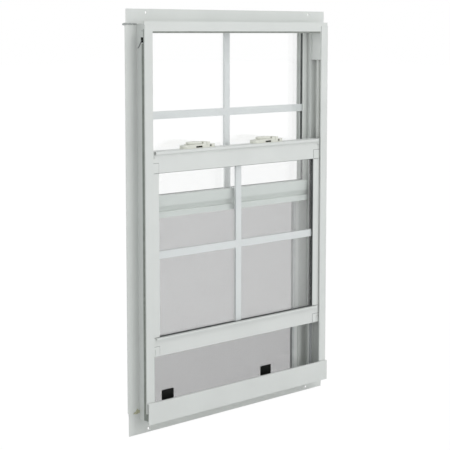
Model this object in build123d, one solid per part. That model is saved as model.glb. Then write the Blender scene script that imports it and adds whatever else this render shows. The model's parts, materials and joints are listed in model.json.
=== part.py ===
from build123d import *
import math
import os

# A single-hung window of painted aluminium, seen from the room side at -Y.
# X runs along the width, +Y to the weather side and Z up, in millimetres.
# The origin is the centre of the four nail holes, on the fin face that bears on the wall.

# Frame
frame_width = 591.0
frame_height = 893.6
wall = 1.6
fin_width = 33.5
fin_end_gap = 3.0
leg_front = -35.0
lip_out = 7.0
leg_in = 16.0
hem = 3.2
lip_top = 6.2
jamb_leg_top_gap = 2.3
nail_hole_d = 6.0
nail_edge = 8.0
nail_from_end = 58.0

# Depth stations, each counted on from the one before
sash_front_gap = 3.9
sash_depth = 22.5
rail_gap = 3.0
rib_gap = 5.0
rib_depth = 5.0
rib_in = 20.0
bead_depth = 9.0
bead_wall = 1.4
pane = 2.4
cavity = 6.2
tape = 1.0
screen_gap = 0.6
screen_depth = 8.2

# Upper light
glaze_in = 30.0
glass_in = 16.0
bead_in = 32.5
bead_foot_in = 14.0
head_sight = 20.0
head_glass_in = 10.0
tape_inset = 3.0
spacer_width = 7.0
setting_block = 3.0
setting_block_length = 36.0
bar_width = 17.6
bar_depth = 5.3
upper_bar_drop = 1.9
clip_length = 3.0
clip_side_gap = 1.0
clip_face_gap = 0.4
pile_width = 5.0
pile_inset = 2.0

# Fixed meeting rail
rail_rise = 28.5
rail_height = 50.0
band_height = 23.9
groove_height = 12.6
groove_depth = 8.0
screen_cap_drop = 7.4
screen_cap_leg = 14.0

# Sill
seat_height = 12.5
dam_projection = 6.0
dam_height = 49.0
dam_drop = 3.8
dam_return = 5.2
sill_web_height = 19.8
screen_lip_height = 9.0

# Sash, drawn raised above its seat as it stands
sash_side_gap = 6.5
sash_height = 465.1
sash_raise = 133.0
seal_height = 1.3
seat_clearance = 0.3
top_rail_height = 49.0
bottom_rail_height = 42.7
stile_face = 30.5
balance_pocket = 8.5
glass_pocket_in = 17.1
glass_edge_gap = 1.0
pocket_depth = 11.2
gasket = 2.4
gasket_cover = 8.0
gasket_width = 9.0
back_tape = 1.5
seam = 1.0
bulb_d = 8.0
top_pile_drop = 9.0
guide_height = 28.0
guide_drop = 2.0
guide_wall_gap = 1.2
guide_tube_gap = 0.8
pull_lip_height = 8.0
pull_lip_out = 5.5
pull_lip_inset = 18.0
pull_lip_corner = 2.9
notch_top = 16.4
notch_bottom = 15.7

# Sash locks
lock_centres = (-129.0, 100.0)
lock_length = 104.0
lock_depth = 21.0
lock_deck = 9.0
lock_ear_drop = 1.2
lock_shoulder = (12.0, 31.0)
shoulder_height = 14.2
shoulder_fall = 1.0
facet_span = (-4.0, 22.0)
facet_depth = 1.6
facet_low = 4.6
slot_span = (-13.0, 7.0)
slot_low = 1.0
slot_height = 3.8
eye_offset = 33.0
eye_height = 4.4
eye_d = 5.6
eye_rim_d = 8.0
eye_rim = 0.6
eye_depth = 8.0
finger_groove_d = 4.0
lock_pivot_back = 10.8
lock_screw_reach = 43.0
lock_screw_sink = 3.0
lever_length = 35.0
lever_tip_d = 11.0
lever_tip_height = 4.6
lever_height = 6.0
lever_hub_d = 21.0
cam_reach = 17.0
cam_height = 3.0
cam_ring = 2.4
cam_spread = 30.0
cam_rest_angle = -15.0
cam_facets = 36
lock_front_wall = 1.5
shank_d = 9.0
shank_end_gap = 0.5
pin_d = 5.0
pin_play = 0.2
pin_cover = 1.2
running_gap = 0.3

# Spiral balances
tube_d = 9.5
tube_wall = 0.7
tube_in = 8.1
tube_length = 380.0
tube_top_gap = 6.8
spring_wall = 0.8
rod_width = 5.0
rod_thickness = 1.5
rod_pitch = 100.0
rod_length = 495.0
steps_per_turn = 12
bearing_height = 6.0
bearing_play = 0.4
shoe_height = 10.0
shoe_raise = 10.0
cover_length = 84.0
cover_in = 17.0
hook_hole_height = 12.0
hook_hole_depth = 9.0
hook_hole_from_top = 34.8
hook_width = 5.0
hook_play = 1.0
hook_drop = 27.0
hook_lean = 8.0

# Insect screen
screen_floor_in = 25.0
screen_side_gap = 0.5
screen_rail = 24.0
spline_width = 3.4
spline_from_edge = 16.3
spline_floor = 1.2
spline_drop = 0.3
screen_lip_drop = 0.6
screen_lap = 25.6
screen_foot_cut = 8.0
mesh_thickness = 0.3
mesh_openings = (8, 8)
mesh_strand = 14.0
tab_width = 37.0
tab_height = 24.0
tab_thickness = 1.5
tab_corner = 2.0
tab_raise = 5.0
tab_ledge = 2.6
tab_centres = (-184.0, 147.0)
spring_centres = (-128.0, 156.0)
leaf_thickness = 0.6
leaf_width = 6.0
tang_spacing = 25.0
tang_width = 3.6
tang_depth = 2.4
tang_height = 3.0

# Sealant smears on the left fin seams: points inward from the fin's edge and up from the seam
sealant_thickness = 1.4
head_smear = (
    (-8, -2), (-4, -4), (0, -1.4), (18, -0.8), (33, -1.8), (33, 1.8), (14, 1), (-3, 2.6), (-8, 1)
)
sill_smear = ((14, -3), (26, -4.4), (33, -2.4), (33, 3.6), (29, 3), (27, 8.5), (24, 2.5), (18, 0))

# Fasteners
screw_d = 3.8
screw_head_d = 8.0
screw_head = 2.0
tube_screw_head_d = 6.0
screw_length = 16.0
boss_d = 8.0
boss_sink = 0.4
boss_front_gap = 2.4
facets = 8
tube_facets = 14

# Derived stations
half_w = frame_width / 2
half_h = frame_height / 2
leg_back = leg_front + wall
sash_front = leg_back + sash_front_gap
sash_back = sash_front + sash_depth
rail_front = sash_back + rail_gap
rib_front = sash_back + rib_gap
rib_back = rib_front + rib_depth
bead_front = rib_back + bead_depth
glass_front = bead_front + bead_wall
glass_back = glass_front + 2 * pane + cavity
glaze_front = glass_back + tape
glaze_back = glaze_front + wall
screen_front = glaze_back + screen_gap
screen_back = screen_front + screen_depth
track_back = screen_back + screen_gap
frame_back = track_back + wall
seat_top = -half_h + seat_height
shut_bottom = seat_top + seal_height + seat_clearance
sash_bottom = shut_bottom + sash_raise
sash_top = sash_bottom + sash_height
rail_top = shut_bottom + sash_height + rail_rise
rail_bottom = rail_top - rail_height
groove_top = rail_top - band_height
groove_bottom = groove_top - groove_height
sash_half = half_w - sash_side_gap
dam_front = leg_front - dam_projection
dam_bottom = -half_h - dam_drop
dam_top = dam_bottom + dam_height
web_top = -half_h + sill_web_height
sill_floor = -half_h + wall
stile_web = sash_half - balance_pocket
pocket_wall = sash_half - glass_pocket_in
sash_glass_front = sash_front + wall + gasket
sash_glass_back = sash_glass_front + 2 * pane + cavity
sash_lip_front = sash_glass_back + back_tape
sash_glass_half = sash_half - glass_pocket_in - glass_edge_gap
sash_glass_top = sash_top - top_rail_height + pocket_depth
sash_glass_bottom = sash_bottom + bottom_rail_height - pocket_depth
lock_y = sash_back - lock_pivot_back
lock_z = sash_top
lever_bottom = lock_z + lock_deck + running_gap
tube_x = half_w - tube_in
tube_y = (sash_front + sash_back) / 2
tube_top = half_h - tube_top_gap
tube_bottom = tube_top - tube_length
shoe_bottom = sash_bottom + shoe_raise
rod_bottom = shoe_bottom + shoe_height
screen_half = half_w - screen_floor_in - screen_side_gap
screen_bottom = sill_floor + seat_clearance
screen_low = screen_bottom - screen_foot_cut
screen_top = rail_bottom + screen_lap
screen_cap_z = rail_top - screen_cap_drop
head_low = half_h - head_sight
upper_glass_half = half_w - glass_in
upper_glass_bottom = groove_top + wall + setting_block
upper_glass_top = half_h - head_glass_in
upper_bar_z = (rail_top + head_low) / 2 - upper_bar_drop
lower_bar_z = (sash_glass_bottom + sash_glass_top) / 2
nail_x = half_w + fin_width - fin_end_gap - nail_from_end
nail_z = half_h + fin_width - nail_edge


def plate(first, second):
    """Rectangle between two ranges of a drawing plane."""
    centre = Pos((first[0] + first[1]) / 2, (second[0] + second[1]) / 2)
    return centre * Rectangle(abs(first[1] - first[0]), abs(second[1] - second[0]))


def section(*plates):
    """One profile joined from rectangles given as pairs of ranges."""
    profile = plate(*plates[0])
    for ranges in plates[1:]:
        profile += plate(*ranges)
    return profile


def along_z(profile, low, high):
    return Pos(0, 0, low) * extrude(profile, high - low)


def along_x(profile, low, high):
    return extrude(Plane.YZ.offset(low) * profile, high - low)


def block(x, y, z):
    return along_z(plate(x, y), z[0], z[1])


def window_ring(half_width, bottom, top, width, front, back):
    """Rectangular ring standing in the window's plane, measured at its outer edge."""
    middle = Pos(0, (bottom + top) / 2)
    outer = Rectangle(2 * half_width, top - bottom)
    inner = Rectangle(2 * (half_width - width), top - bottom - 2 * width)
    return extrude(Plane.XZ.offset(-front) * (middle * (outer - inner)), -(back - front))


def window_sheet(half_width, bottom, top, front, back):
    return block((-half_width, half_width), (front, back), (bottom, top))


def faceted(diameter):
    return RegularPolygon(diameter / 2, facets)


def rod_along_x(diameter, low, high, y, z):
    """Faceted rod or hole across the window, for screws and their seats."""
    return extrude(Plane.YZ.offset(low) * (Pos(y, z) * faceted(diameter)), high - low)


def rod_along_y(diameter, x, low, high, z):
    return extrude(Plane.XZ.offset(-low) * (Pos(x, z) * Circle(diameter / 2)), -(high - low))


def tube_along_z(diameter, low, high):
    """Faceted bar on the left balance's axis."""
    return Pos(-tube_x, tube_y, low) * extrude(RegularPolygon(diameter / 2, tube_facets), high - low)


def other_side(shape):
    return mirror(shape, about=Plane.YZ)


def both(shape):
    return Compound(children=list(shape.solids()) + list(other_side(shape).solids()))


def group(shapes):
    return Compound(children=[solid for shape in shapes for solid in shape.solids()])


# Frame members

boss_y = (leg_back + boss_front_gap + boss_d / 2, (rib_back + glaze_front) / 2)
boss_inset = wall + boss_d / 2 - boss_sink
head_boss_z = half_h - boss_inset
sill_boss_z = -half_h + boss_inset


def bosses(profile, places, z):
    """A profile with a drilled screw boss at each depth."""
    for y in places:
        profile += Pos(y, z) * faceted(boss_d)
        profile -= Pos(y, z) * faceted(screw_d)
    return profile


def nail_holes(z):
    drill = rod_along_y(nail_hole_d, nail_x, -wall, 2 * wall, z)
    return drill + other_side(drill)


def make_head():
    front = (leg_back, leg_back + wall)
    inner = section(
        ((leg_back, frame_back), (half_h - wall, half_h)),
        ((rib_front, rib_front + wall), (half_h - rib_in, half_h)),
        ((rib_back - wall, rib_back), (half_h - rib_in, half_h)),
        ((rib_front, rib_back), (half_h - rib_in, half_h - rib_in + wall)),
        ((glaze_front, glaze_back), (head_low, half_h)),
        ((track_back, frame_back), (half_h - bead_foot_in, half_h)),
    )
    reach = half_w - wall
    head = along_x(bosses(inner, boss_y, head_boss_z), -reach, reach)
    lip = half_w + lip_out
    head += block((-lip, lip), front, (half_h - leg_in, half_h + lip_top))
    fin_reach = half_w + fin_width - fin_end_gap
    head += block((-fin_reach, fin_reach), (0, wall), (half_h, half_h + fin_width))
    head += block((-reach, reach), (0, wall), (half_h - wall, half_h))
    return head - nail_holes(nail_z)


def make_sill():
    inner = section(
        ((dam_front, 0), (seat_top - wall, seat_top)),
        ((dam_front, frame_back), (-half_h, sill_floor)),
        ((glaze_front, glaze_back), (-half_h, -half_h + screen_lip_height)),
        ((track_back, frame_back), (-half_h, -half_h + screen_lip_height)),
    )
    reach = half_w - wall
    sill = along_x(bosses(inner, boss_y[1:], sill_boss_z), -reach, reach)
    dam = section(
        ((dam_front, dam_front + wall), (dam_bottom, dam_top)),
        ((dam_front, dam_front + dam_return), (dam_top - wall, dam_top)),
        ((dam_front, dam_front + dam_return), (dam_bottom, dam_bottom + wall)),
    )
    lip = half_w + lip_out
    sill += along_x(dam, -lip, lip)
    fin_reach = half_w + fin_width - fin_end_gap
    sill += block((-fin_reach, fin_reach), (0, wall), (-half_h - fin_width, web_top))
    return sill - nail_holes(-nail_z)


def make_jamb_left(head, sill):
    edge = -half_w
    profile = section(
        ((edge, edge + wall), (leg_front, frame_back)),
        ((edge - lip_out, edge + leg_in), (leg_front, leg_back)),
        ((edge - lip_out, edge - lip_out + wall), (leg_front, leg_front + hem)),
        ((edge + leg_in - wall, edge + leg_in), (leg_front, leg_front + hem)),
        ((edge, edge + rib_in), (rib_front, rib_front + wall)),
        ((edge, edge + rib_in), (rib_back - wall, rib_back)),
        ((edge + rib_in - wall, edge + rib_in), (rib_front, rib_back)),
        ((edge, edge + glaze_in), (glaze_front, glaze_back)),
        ((edge + screen_floor_in - wall, edge + screen_floor_in), (glaze_back, track_back)),
        ((edge, edge + glaze_in), (track_back, frame_back)),
    )
    jamb = along_z(profile, -half_h, half_h)
    jamb += block((edge - fin_width, edge), (0, wall), (web_top, half_h))
    tip = (half_h - jamb_leg_top_gap, half_h)
    jamb -= block((edge - lip_out, edge + leg_in), (leg_front, leg_back), tip)
    jamb -= block((edge + wall, edge + rib_in), (rib_front, rib_back), (half_h - rib_in, half_h))
    dam_middle = dam_bottom + dam_height / 2
    jamb -= block((edge - lip_out, edge), (leg_front, leg_back + hem), (-half_h, dam_middle))
    hook_z = half_h - hook_hole_from_top
    hook_y = tube_y + hook_hole_depth / 2
    jamb -= block(
        (edge, edge + wall),
        (hook_y - hook_hole_depth, hook_y),
        (hook_z - hook_hole_height / 2, hook_z + hook_hole_height / 2),
    )
    for y in boss_y:
        jamb -= rod_along_x(screw_d, edge, edge + wall, y, head_boss_z)
    jamb -= rod_along_x(screw_d, edge, edge + wall, boss_y[1], sill_boss_z)
    jamb -= rod_along_x(screw_d, edge, edge + wall, tube_y, tube_top - screw_head_d)
    return jamb - head - sill


def frame_screw(y, z):
    shaft = rod_along_x(screw_d, -half_w, -half_w + screw_length, y, z)
    head = rod_along_x(screw_head_d, -half_w - screw_head, -half_w, y, z)
    return shaft + head


def make_frame_screws():
    screws = [frame_screw(y, head_boss_z) for y in boss_y]
    screws.append(frame_screw(boss_y[1], sill_boss_z))
    return group([both(screw) for screw in screws])


def smear(outline, seam_z):
    """Flat torn smear on the room face of the left fins, along the seam between them."""
    edge = -half_w - fin_width
    points = [(edge + inward, seam_z + up) for inward, up in outline]
    start = Plane.XZ.offset(sealant_thickness)
    return extrude(start * Polygon(*points, align=None), sealant_thickness, dir=(0, 1, 0))


def make_corner_sealant():
    return group([smear(head_smear, half_h), smear(sill_smear, web_top)])


def make_fixed_rail(jambs):
    plates = section(
        ((rail_front, rail_front + wall), (groove_top, rail_top)),
        ((rail_front, glass_front), (rail_top - wall, rail_top)),
        ((bead_front, glass_front), (rail_bottom, rail_top)),
        ((rail_front, glaze_back), (groove_top, groove_top + wall)),
        ((rail_front + groove_depth, rail_front + groove_depth + wall), (groove_bottom - wall, groove_top)),
        ((rail_front, rail_front + groove_depth + wall), (groove_bottom - wall, groove_bottom)),
        ((rail_front, rail_front + wall), (rail_bottom, groove_bottom)),
        ((rail_front, glaze_back), (rail_bottom, rail_bottom + wall)),
        ((glaze_front, glaze_back), (rail_bottom, rail_top)),
        ((glaze_back, frame_back), (screen_cap_z, screen_cap_z + wall)),
        ((track_back, frame_back), (screen_cap_z - screen_cap_leg, screen_cap_z)),
    )
    reach = half_w - wall
    rail = along_x(plates, -reach, reach)
    for jamb in jambs:
        rail -= jamb
    corner = block((-half_w, -half_w + rib_in), (rail_front, frame_back), (groove_bottom, rail_top))
    outside = block((-half_w, -half_w + rib_in), (rib_front, frame_back), (rail_bottom - wall, rail_top))
    behind = block(
        (-half_w, -half_w + glaze_in), (glaze_back, frame_back), (rail_bottom - wall, rail_top)
    )
    for cut in (corner, outside, behind):
        rail = rail - cut - other_side(cut)
    return rail


# Upper light

def make_bead_left():
    edge = -half_w
    profile = section(
        ((edge + bead_foot_in, edge + bead_in), (bead_front, glass_front)),
        ((edge + bead_foot_in, edge + bead_foot_in + bead_wall), (rib_back, bead_front)),
    )
    return along_z(profile, rail_top, head_low)


def make_bead_top():
    foot_high = half_h - bead_foot_in
    profile = section(
        ((bead_front, glass_front), (head_low, foot_high)),
        ((rib_back, bead_front), (foot_high - bead_wall, foot_high)),
    )
    reach = half_w - bead_foot_in
    return along_x(profile, -reach, reach)


def make_setting_blocks():
    x = upper_glass_half / 2
    half = setting_block_length / 2
    low = upper_glass_bottom - setting_block
    return both(block((x - half, x + half), (glass_front, glass_back), (low, upper_glass_bottom)))


def insulated_unit(half_width, bottom, top, front):
    """Inner pane, outer pane and the spacer frame between them."""
    back = front + 2 * pane + cavity
    inner = window_sheet(half_width, bottom, top, front, front + pane)
    outer = window_sheet(half_width, bottom, top, back - pane, back)
    spacer = window_ring(half_width, bottom, top, spacer_width, front + pane, back - pane)
    return inner, outer, spacer


def grid(half_width, bottom, top, front, bar_z):
    """Flat bars between the panes: one long bar, two short ones and their end clips."""
    middle = front + pane + cavity / 2
    y = (middle - bar_depth / 2, middle + bar_depth / 2)
    clip = clip_length
    clip_y = (y[0] + clip_face_gap, y[1] - clip_face_gap)
    reach = half_width - spacer_width
    half_bar = bar_width / 2
    long_bar = block((-reach + clip, reach - clip), y, (bar_z - half_bar, bar_z + half_bar))
    low = bottom + spacer_width
    high = top - spacer_width
    lower = block((-half_bar, half_bar), y, (low + clip, bar_z - half_bar))
    upper = block((-half_bar, half_bar), y, (bar_z + half_bar, high - clip))
    clip_half = half_bar - clip_side_gap
    end = block((-reach, -reach + clip), clip_y, (bar_z - clip_half, bar_z + clip_half))
    foot = block((-clip_half, clip_half), clip_y, (low, low + clip))
    cap = block((-clip_half, clip_half), clip_y, (high - clip, high))
    return long_bar, group([lower, upper]), group([end, other_side(end), foot, cap])


def make_upper_tape():
    """Glazing tape between the outer pane and the frame's glazing legs."""
    outer = upper_glass_half - tape_inset
    width = glaze_in - glass_in - tape_inset
    top_width = head_sight - head_glass_in - tape_inset
    y = (glass_back, glaze_front)
    low = rail_top - width
    high = upper_glass_top - tape_inset
    side = block((-outer, width - outer), y, (low, high))
    top = block((width - outer, outer - width), y, (high - top_width, high))
    foot = block((width - outer, outer - width), y, (low, rail_top))
    return side + other_side(side) + top + foot


def make_pile_strips():
    edge = -half_w
    thickness = rib_gap - seat_clearance
    inner = edge + rib_in - pile_inset
    strip = block(
        (inner - pile_width, inner),
        (rib_front - thickness, rib_front),
        (web_top + wall, rail_bottom - wall),
    )
    return both(strip)


# Spiral balances

def make_cover_left():
    edge = -half_w + wall
    face = -half_w + cover_in
    front = leg_front + hem
    back = rib_front - seat_clearance
    profile = section(
        ((face - wall, face), (front, back)),
        ((edge, face), (front, front + wall)),
        ((edge, face), (back - wall, back)),
    )
    top = half_h - wall
    cover = along_z(profile, top - cover_length, top - screw_head_d - boss_inset)
    return cover


def make_tube_left():
    tube = tube_along_z(tube_d, tube_bottom, tube_top)
    tube -= tube_along_z(tube_d - 2 * tube_wall, tube_bottom, tube_top)
    return tube - rod_along_x(screw_d, -half_w, -tube_x + tube_d, tube_y, tube_top - screw_head_d)


def make_spring_left():
    bore = tube_d - 2 * tube_wall
    low = tube_bottom + bearing_height
    high = tube_top - 2 * screw_head_d
    return tube_along_z(bore, low, high) - tube_along_z(bore - 2 * spring_wall, low, high)


def make_tube_screw_left():
    z = tube_top - screw_head_d
    seat = -tube_x + tube_d / 2
    shaft = rod_along_x(screw_d, -half_w, seat, tube_y, z)
    return shaft + rod_along_x(tube_screw_head_d, seat, seat + screw_head, tube_y, z)


def make_hook_left():
    """Bent strap through the jamb's punched hole, lying down and back along the outside."""
    z = half_h - hook_hole_from_top
    top = z + hook_hole_height / 2 - hook_play
    low = z - hook_hole_height / 2 + hook_play
    outside = -half_w - wall
    front = tube_y - hook_width / 2
    back = tube_y + hook_width / 2
    tongue = block((outside, -tube_x - tube_d / 2), (front, back), (low, top))
    end = z - hook_drop
    lean = (front + hook_lean, back + hook_lean)
    strap = Polygon((front, top), (lean[0], end), (lean[1], end), (back, top), align=None)
    return tongue + extrude(Plane.YZ.offset(outside) * strap, wall, dir=(1, 0, 0))


def twist_at(z):
    return 360.0 * (z - tube_bottom) / rod_pitch


def rod_corners(z):
    """Corners of the twisted strip's section at a height."""
    place = Pos(-tube_x, tube_y, z) * Rot(0, 0, twist_at(z))
    corners = []
    for x, y in ((-1, -1), (1, -1), (1, 1), (-1, 1)):
        corners.append((place * Pos(x * rod_width / 2, y * rod_thickness / 2, 0)).position)
    return corners


def make_rod_left():
    """Flat strip twisted evenly along its length, in flat facets."""
    count = round(rod_length / rod_pitch * steps_per_turn)
    rows = [rod_corners(rod_bottom + rod_length * step / count) for step in range(count + 1)]
    faces = [Face(Wire.make_polygon(rows[0])), Face(Wire.make_polygon(rows[-1]))]
    for lower, upper in zip(rows, rows[1:]):
        for corner in range(4):
            after = (corner + 1) % 4
            faces.append(Face(Wire.make_polygon([lower[corner], lower[after], upper[corner]])))
            faces.append(Face(Wire.make_polygon([lower[after], upper[after], upper[corner]])))
    return Solid(Shell(faces))


def make_bearing_left():
    """Nylon bearing under the tube's mouth, slotted for the twisted rod."""
    high = tube_bottom - running_gap
    low = high - bearing_height
    turn = math.radians(twist_at(high) - twist_at(low)) / 2
    slot_width = rod_width + 2 * bearing_play
    slot_depth = (
        rod_thickness * math.cos(turn) + rod_width * math.sin(turn) + 2 * bearing_play
    )
    slot = Rot(0, 0, twist_at((low + high) / 2)) * Rectangle(slot_width, slot_depth)
    return Pos(-tube_x, tube_y, low) * extrude(Circle(tube_d / 2) - slot, bearing_height)


def make_shoe_left():
    return block(
        (-sash_half, -stile_web),
        (sash_front + wall, sash_back - wall),
        (shoe_bottom, rod_bottom),
    )


# Sash

sash_boss_z = (sash_top - boss_inset, sash_bottom + boss_inset)
sash_boss_y = sash_back - wall - boss_d / 2 - boss_sink


def sash_boss(z):
    ring = faceted(boss_d) - faceted(screw_d)
    return along_x(Pos(sash_boss_y, z) * ring, -pocket_wall, pocket_wall)


def make_top_rail():
    low = sash_top - top_rail_height
    front = (sash_front, sash_front + wall)
    back = (sash_back - wall, sash_back)
    web = (sash_glass_top + glass_edge_gap, sash_glass_top + glass_edge_gap + wall)
    inner = section(
        (front, (low, sash_top)),
        ((sash_front, sash_back), (sash_top - wall, sash_top)),
        (back, (web[0], sash_top)),
        ((sash_front, sash_back), web),
        ((sash_lip_front, sash_lip_front + wall), (low, web[1])),
    )
    rail = along_x(inner, -pocket_wall, pocket_wall)
    rail += block((-sash_half, sash_half), front, (low, sash_top - notch_top))
    lip_low = sash_top - pull_lip_height
    size = pull_lip_out + wall
    outer = RectangleRounded(size, pull_lip_height, pull_lip_corner)
    inner_hole = RectangleRounded(size - 2 * wall, pull_lip_height - 2 * wall, pull_lip_corner - wall)
    place = Pos(sash_front + wall - size / 2, (sash_top + lip_low) / 2)
    reach = sash_half - pull_lip_inset
    rail += along_x(place * (outer - inner_hole), -reach, reach)
    return rail + sash_boss(sash_boss_z[0])


def make_bottom_rail():
    high = sash_bottom + bottom_rail_height
    front = (sash_front, sash_front + wall)
    web = (sash_glass_bottom - glass_edge_gap - wall, sash_glass_bottom - glass_edge_gap)
    inner = section(
        (front, (sash_bottom, high)),
        ((sash_front, sash_back), (sash_bottom, sash_bottom + wall)),
        ((sash_back - wall, sash_back), (sash_bottom, web[1])),
        ((sash_front, sash_back), web),
        ((sash_lip_front, sash_lip_front + wall), (web[0], high)),
    )
    rail = along_x(inner, -pocket_wall, pocket_wall)
    rail += block((-sash_half, sash_half), front, (sash_bottom + notch_bottom, high))
    ledge = section(
        ((sash_front - pull_lip_out, sash_front), (high - wall, high)),
        ((sash_front - pull_lip_out, sash_front - pull_lip_out + wall), (high - wall - hem, high)),
    )
    reach = sash_half - pull_lip_inset
    return rail + along_x(ledge, -reach, reach) + sash_boss(sash_boss_z[1])


def make_stile_left(rails):
    edge = -sash_half
    pocket = (edge + glass_pocket_in - wall, edge + glass_pocket_in)
    profile = section(
        ((edge, edge + stile_face), (sash_front, sash_front + wall)),
        ((edge, pocket[1]), (sash_back - wall, sash_back)),
        ((edge + balance_pocket, edge + balance_pocket + wall), (sash_front, sash_back)),
        (pocket, (sash_front, sash_back)),
        ((pocket[0], edge + stile_face), (sash_lip_front, sash_lip_front + wall)),
    )
    stile = along_z(profile, sash_bottom, sash_top)
    for rail in rails:
        stile -= rail
    low = sash_bottom + bottom_rail_height
    high = sash_top - top_rail_height
    inside = (edge + glass_pocket_in - seam, edge + stile_face)
    face = (sash_front, sash_front + wall)
    for z in ((sash_bottom, low), (high, sash_top)):
        stile -= block((pocket[1], inside[1]), (sash_front, sash_back), z)
        stile -= block(inside, face, z)
    stile -= block((edge, inside[1]), face, (sash_bottom + notch_bottom - seam, low + seam))
    stile -= block((edge, inside[1]), face, (high - seam, sash_top - notch_top + seam))
    for z in sash_boss_z:
        stile -= rod_along_x(screw_d, -stile_web, -pocket_wall, sash_boss_y, z)
    return stile


def make_sash_screws():
    """Corner screws driven from the stiles' channels into the rails' bosses."""
    screws = []
    for z in sash_boss_z:
        shaft = rod_along_x(screw_d, -stile_web, -pocket_wall + screw_length / 2, sash_boss_y, z)
        head = rod_along_x(screw_head_d, -stile_web - screw_head, -stile_web, sash_boss_y, z)
        screws.append(both(shaft + head))
    return group(screws)


def make_sash_gasket():
    outer = sash_half - stile_face + gasket_cover
    low = sash_bottom + bottom_rail_height - gasket_cover
    high = sash_top - top_rail_height + gasket_cover
    front = window_ring(outer, low, high, gasket_width, sash_front + wall, sash_glass_front)
    back = window_ring(outer, low, high, gasket_cover, sash_glass_back, sash_lip_front)
    return group([front, back])


def make_bulb_seal():
    middle = (sash_front + sash_back) / 2
    bulb = Pos(middle, sash_bottom) * Circle(bulb_d / 2)
    bulb &= plate((middle - bulb_d, middle + bulb_d), (sash_bottom - seal_height, sash_bottom))
    return along_x(bulb, -pocket_wall, pocket_wall)


def make_top_pile():
    high = sash_top - top_pile_drop
    return block(
        (-pocket_wall, pocket_wall),
        (sash_back, sash_back + rail_gap - seat_clearance),
        (high - pile_width, high),
    )


def make_guides():
    """Nylon guides in the stile's channel, in front of the balance tube."""
    high = sash_top - guide_drop
    guide = block(
        (-half_w + wall + guide_wall_gap, -stile_web),
        (sash_front + wall, tube_y - tube_d / 2 - guide_tube_gap),
        (high - guide_height, high),
    )
    return both(guide)


# Locks

def lock_outline():
    """The casting seen from the room: two ears, a deck under the lever and a raised shoulder."""
    half = lock_length / 2
    ear = lock_deck - lock_ear_drop
    start, end = lock_shoulder
    fall = shoulder_height - shoulder_fall
    return Polygon(
        (-half, 0),
        (half, 0),
        (half, ear),
        (end, ear),
        (end, fall),
        (start, shoulder_height),
        (start, lock_deck),
        (-lever_length - running_gap, lock_deck),
        (-lever_length - running_gap, ear),
        (-half, ear),
        align=None,
    )


def lock_cuts():
    """Room for the cam, the shank's hole, the finger groove and the recesses in the front."""
    front = -lock_depth / 2
    room = cam_reach + 2 * running_gap
    below = Circle(room) & plate((-room, room), (front + lock_front_wall, room))
    cuts = [extrude(below, cam_height + 3 * running_gap)]
    cuts.append(extrude(Circle(shank_d / 2 + running_gap), lock_deck))
    cuts.append(block(facet_span, (front, front + facet_depth), (facet_low, shoulder_height)))
    cuts.append(block(slot_span, (front, 0), (slot_low, slot_low + slot_height)))
    cuts.append(rod_along_y(eye_d, eye_offset, front - eye_rim, front + eye_depth, eye_height))
    cuts.append(rod_along_y(finger_groove_d, -lever_length, front, -front, lock_deck))
    for x in (-lock_screw_reach, lock_screw_reach):
        seat = lock_deck - lock_screw_sink
        cuts.append(Pos(x, 0) * extrude(faceted(screw_d), lock_deck))
        cuts.append(Pos(x, 0, seat) * extrude(faceted(screw_head_d), lock_screw_sink))
    return cuts


def make_lock_base(x):
    plan = extrude(SlotOverall(lock_length, lock_depth), shoulder_height)
    outline = Plane.XZ.offset(-lock_depth / 2) * lock_outline()
    base = plan & extrude(outline, lock_depth, dir=(0, -1, 0))
    base += rod_along_y(eye_rim_d, eye_offset, -lock_depth / 2 - eye_rim, 0, eye_height)
    for cut in lock_cuts():
        base -= cut
    return Pos(x, lock_y, lock_z) * base


def make_lock_screws():
    screws = []
    seat = lock_deck - lock_screw_sink
    for centre in lock_centres:
        for x in (centre - lock_screw_reach, centre + lock_screw_reach):
            shaft = extrude(faceted(screw_d), seat)
            head = Pos(0, 0, seat) * extrude(faceted(screw_head_d), screw_head)
            screws.append(Pos(x, lock_y, lock_z) * (shaft + head))
    return group(screws)


def make_lock_pins():
    height = lever_bottom + lever_height - pin_cover - running_gap - lock_z
    return group([Pos(x, lock_y, lock_z) * extrude(Circle(pin_d / 2), height) for x in lock_centres])


def make_lever(x):
    """Sweep lever with a crowned back, its arm lying to the left when open."""
    tip_x = lever_tip_d / 2 - lever_length
    hub = lever_hub_d / 2
    tip = lever_tip_d / 2
    arm = Polygon((tip_x, -tip), (0, -hub), (0, hub), (tip_x, tip), align=None)
    plan = Circle(hub) + arm + Pos(tip_x, 0) * Circle(tip)
    left = -lever_length - wall
    right = hub + wall
    crest = ((left + right) / 2, lever_height)
    back = ThreePointArc((left, lever_tip_height), crest, (right, lever_tip_height))
    sides = Polyline((right, lever_tip_height), (right, 0), (left, 0), (left, lever_tip_height))
    crown = Plane.XZ.offset(-lever_hub_d) * make_face(back + sides)
    body = extrude(plan, 2 * lever_height) & extrude(crown, 2 * lever_hub_d, dir=(0, -1, 0))
    shank_low = lock_z + shank_end_gap - lever_bottom
    body += Pos(0, 0, shank_low) * extrude(Circle(shank_d / 2), -shank_low)
    bore = lever_height - pin_cover - shank_low
    body -= Pos(0, 0, shank_low) * extrude(Circle(pin_d / 2 + pin_play), bore)
    return Pos(x, lock_y, lever_bottom) * body


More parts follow.
